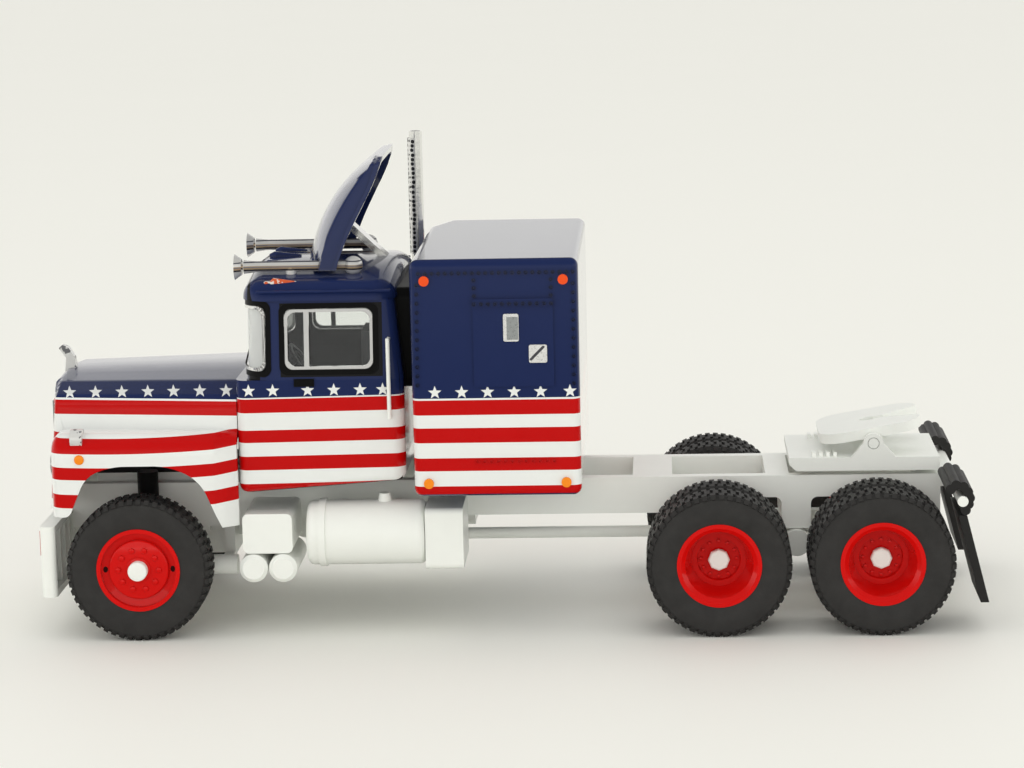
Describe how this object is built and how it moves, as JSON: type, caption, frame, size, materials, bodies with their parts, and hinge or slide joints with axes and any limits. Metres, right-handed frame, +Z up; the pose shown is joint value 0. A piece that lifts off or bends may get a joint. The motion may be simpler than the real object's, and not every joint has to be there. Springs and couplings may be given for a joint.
{
  "type": "toy highway tractor unit with sleeper box",
  "caption": "Small-scale toy tractor truck: long hood, hollow cab, tall sleeper box, white ladder frame with tanks, rolling axles and a tilting coupling plate.",
  "frame": {"origin": "on the ground under the middle of the whole outline", "axes": "-X towards the hood's nose, -Y towards the driver's side, +Z up"},
  "size_m": [0.0797, 0.0286, 0.0405],
  "materials": {
    "body_paint": "gloss navy paint with red and white printed stripes and white stars",
    "chassis_white": "satin moulded white",
    "wheel_red": "gloss moulded red",
    "tyre_rubber": "matte black rubber",
    "chrome": "bright vacuum plating",
    "clear_plastic": "clear moulded plastic",
    "interior_grey": "satin moulded dark grey",
    "lamp_orange": "gloss orange paint",
    "flap_black": "satin black"
  },
  "bodies": {
    "truck": {"hood": "body_paint", "cab_shell": "body_paint", "sleeper_box": "body_paint", "sleeper_hatches": "body_paint", "wind_deflector": "body_paint", "chassis_frame": "chassis_white", "engine": "chassis_white", "front_axle_beam": "chassis_white", "front_springs": "chassis_white", "front_shocks": "chassis_white", "steering_rods": "chassis_white", "grab_rails": "chassis_white", "walking_beams": "chassis_white", "axle_housing_one": "chassis_white", "axle_housing_two": "chassis_white", "trunnion_tube": "chassis_white", "prop_shaft": "chassis_white", "bumper": "chassis_white", "battery_boxes": "chassis_white", "air_tanks": "chassis_white", "fuel_tanks": "chassis_white", "step_boxes": "chassis_white", "slider_base": "chassis_white", "flap_bar": "chassis_white", "grille": "chrome", "headlamps": "chrome", "fender_lamps": "chrome", "hood_ornament": "chrome", "air_horns": "chrome", "deflector_brace": "chrome", "exhaust_stack": "chrome", "stack_guard": "chrome", "window_trims": "chrome", "sleeper_fittings": "chrome", "windscreen": "clear_plastic", "door_windows": "clear_plastic", "cab_interior": "interior_grey", "steering_wheel": "interior_grey", "roof_lamps": "lamp_orange", "sleeper_lamps": "lamp_orange", "mud_flaps": "flap_black", "flap_heads": "flap_black", "cab_boot": "flap_black", "window_gaskets": "flap_black", "door_handles": "flap_black"},
    "front_axle": {"front_axle_pin": "chassis_white", "front_rims": "wheel_red", "front_tyres": "tyre_rubber"},
    "rear_axle_front": {"rear_axle_one_pin": "chassis_white", "rear_axle_one_rims": "wheel_red", "rear_axle_one_tyres": "tyre_rubber"},
    "rear_axle_rear": {"rear_axle_two_pin": "chassis_white", "rear_axle_two_rims": "wheel_red", "rear_axle_two_tyres": "tyre_rubber"},
    "coupling_plate": {"fifth_wheel_plate": "chassis_white"}
  },
  "joints": [
    {"name": "front_axle_spin", "type": "hinge", "parent": "truck", "child": "front_axle", "pos_m": [-0.03172, 0, 0.0061], "axis": [0, 1, 0], "continuous": true},
    {"name": "rear_axle_front_spin", "type": "hinge", "parent": "truck", "child": "rear_axle_front", "pos_m": [0.0172, 0, 0.0061], "axis": [0, 1, 0], "continuous": true},
    {"name": "rear_axle_rear_spin", "type": "hinge", "parent": "truck", "child": "rear_axle_rear", "pos_m": [0.0308, 0, 0.0061], "axis": [0, 1, 0], "continuous": true},
    {"name": "coupling_plate_tilt", "type": "hinge", "parent": "truck", "child": "coupling_plate", "pos_m": [0.0306, 0, 0.0147], "axis": [0, 1, 0], "range_deg": [-3, 17]}
  ]
}
